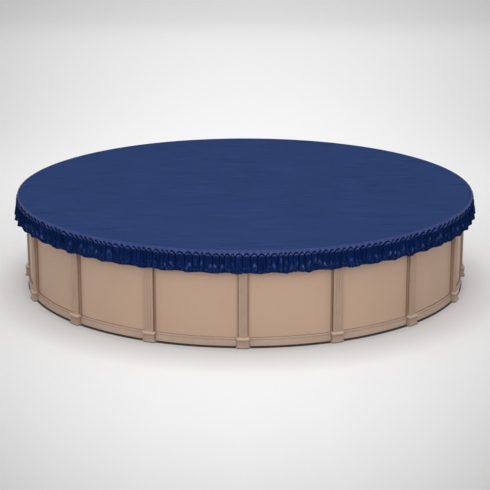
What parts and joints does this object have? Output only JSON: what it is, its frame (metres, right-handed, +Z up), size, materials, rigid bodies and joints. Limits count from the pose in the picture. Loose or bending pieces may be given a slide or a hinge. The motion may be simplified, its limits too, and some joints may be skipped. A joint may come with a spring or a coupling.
{
  "type": "pool cover",
  "caption": "Fitted winter cover with a flat top, a gathered skirt and a cable winch in its hem, on a round above-ground pool with fluted uprights, boots and ledges.",
  "frame": {"origin": "on the ground at the middle of the pool, on the underside of the liner's floor", "axes": "+Z up; -Y toward the viewer, with one upright facing it; the winch and the wall's seam are at +Y"},
  "size_m": [6.763, 6.7929, 1.3588],
  "materials": {
    "tan_wall": "satin",
    "tan_resin": "satin",
    "tan_trim": "satin",
    "zinc_steel": "satin",
    "aluminium_channel": "satin",
    "blue_vinyl": "satin",
    "foam": "matte",
    "navy_sheet": "matte",
    "navy_welt": "matte",
    "navy_skirt": "satin",
    "coated_wire": "satin",
    "spool_steel": "satin",
    "black_steel": "satin"
  },
  "bodies": {
    "pool": {"bottom_plates": "zinc_steel", "bottom_rails": "tan_trim", "wall": "tan_wall", "wall_joint_plate": "zinc_steel", "wall_bolts": "zinc_steel", "upright_01": "tan_resin", "upright_02": "tan_resin", "upright_03": "tan_resin", "upright_04": "tan_resin", "upright_05": "tan_resin", "upright_06": "tan_resin", "upright_07": "tan_resin", "upright_08": "tan_resin", "upright_09": "tan_resin", "upright_10": "tan_resin", "upright_11": "tan_resin", "upright_12": "tan_resin", "upright_13": "tan_resin", "upright_14": "tan_resin", "upright_15": "tan_resin", "upright_16": "tan_resin", "boot_01": "tan_trim", "boot_02": "tan_trim", "boot_03": "tan_trim", "boot_04": "tan_trim", "boot_05": "tan_trim", "boot_06": "tan_trim", "boot_07": "tan_trim", "boot_08": "tan_trim", "boot_09": "tan_trim", "boot_10": "tan_trim", "boot_11": "tan_trim", "boot_12": "tan_trim", "boot_13": "tan_trim", "boot_14": "tan_trim", "boot_15": "tan_trim", "boot_16": "tan_trim", "top_tracks": "aluminium_channel", "top_plates": "zinc_steel", "top_ledges": "tan_trim", "ledge_caps": "tan_resin", "frame_screws": "zinc_steel", "liner_floor": "blue_vinyl", "liner_wall": "blue_vinyl", "wall_cove": "foam"},
    "cover": {"cover_sheet": "navy_sheet", "rim_welt": "navy_welt", "cover_skirt": "navy_skirt", "hem_sleeve": "navy_skirt", "hem_cable": "coated_wire", "exit_grommets": "zinc_steel", "winch_frame": "zinc_steel", "winch_pawl_pin": "zinc_steel", "winch_pawl_spring": "spool_steel", "cable_clip": "aluminium_channel"},
    "spool": {"winch_spool": "spool_steel", "winch_ratchet": "zinc_steel", "winch_handle": "black_steel", "cable_wraps": "coated_wire"},
    "pawl": {"winch_pawl": "black_steel"}
  },
  "joints": [
    {"name": "cover_lift", "type": "slide", "parent": "pool", "child": "cover", "axis": [0, 0, 1], "range_m": [0, 0.8]},
    {"name": "spool_turn", "type": "hinge", "parent": "cover", "child": "spool", "pos_m": [0, 3.3755, 1.0683], "axis": [0, -1, 0], "continuous": true},
    {"name": "pawl_lift", "type": "hinge", "parent": "cover", "child": "pawl", "pos_m": [0.0215, 3.3961, 1.0723], "axis": [0, 1, 0], "range_deg": [0, 25], "stiffness_Nm_per_rad": 0.02, "springref_deg": -17.19}
  ]
}
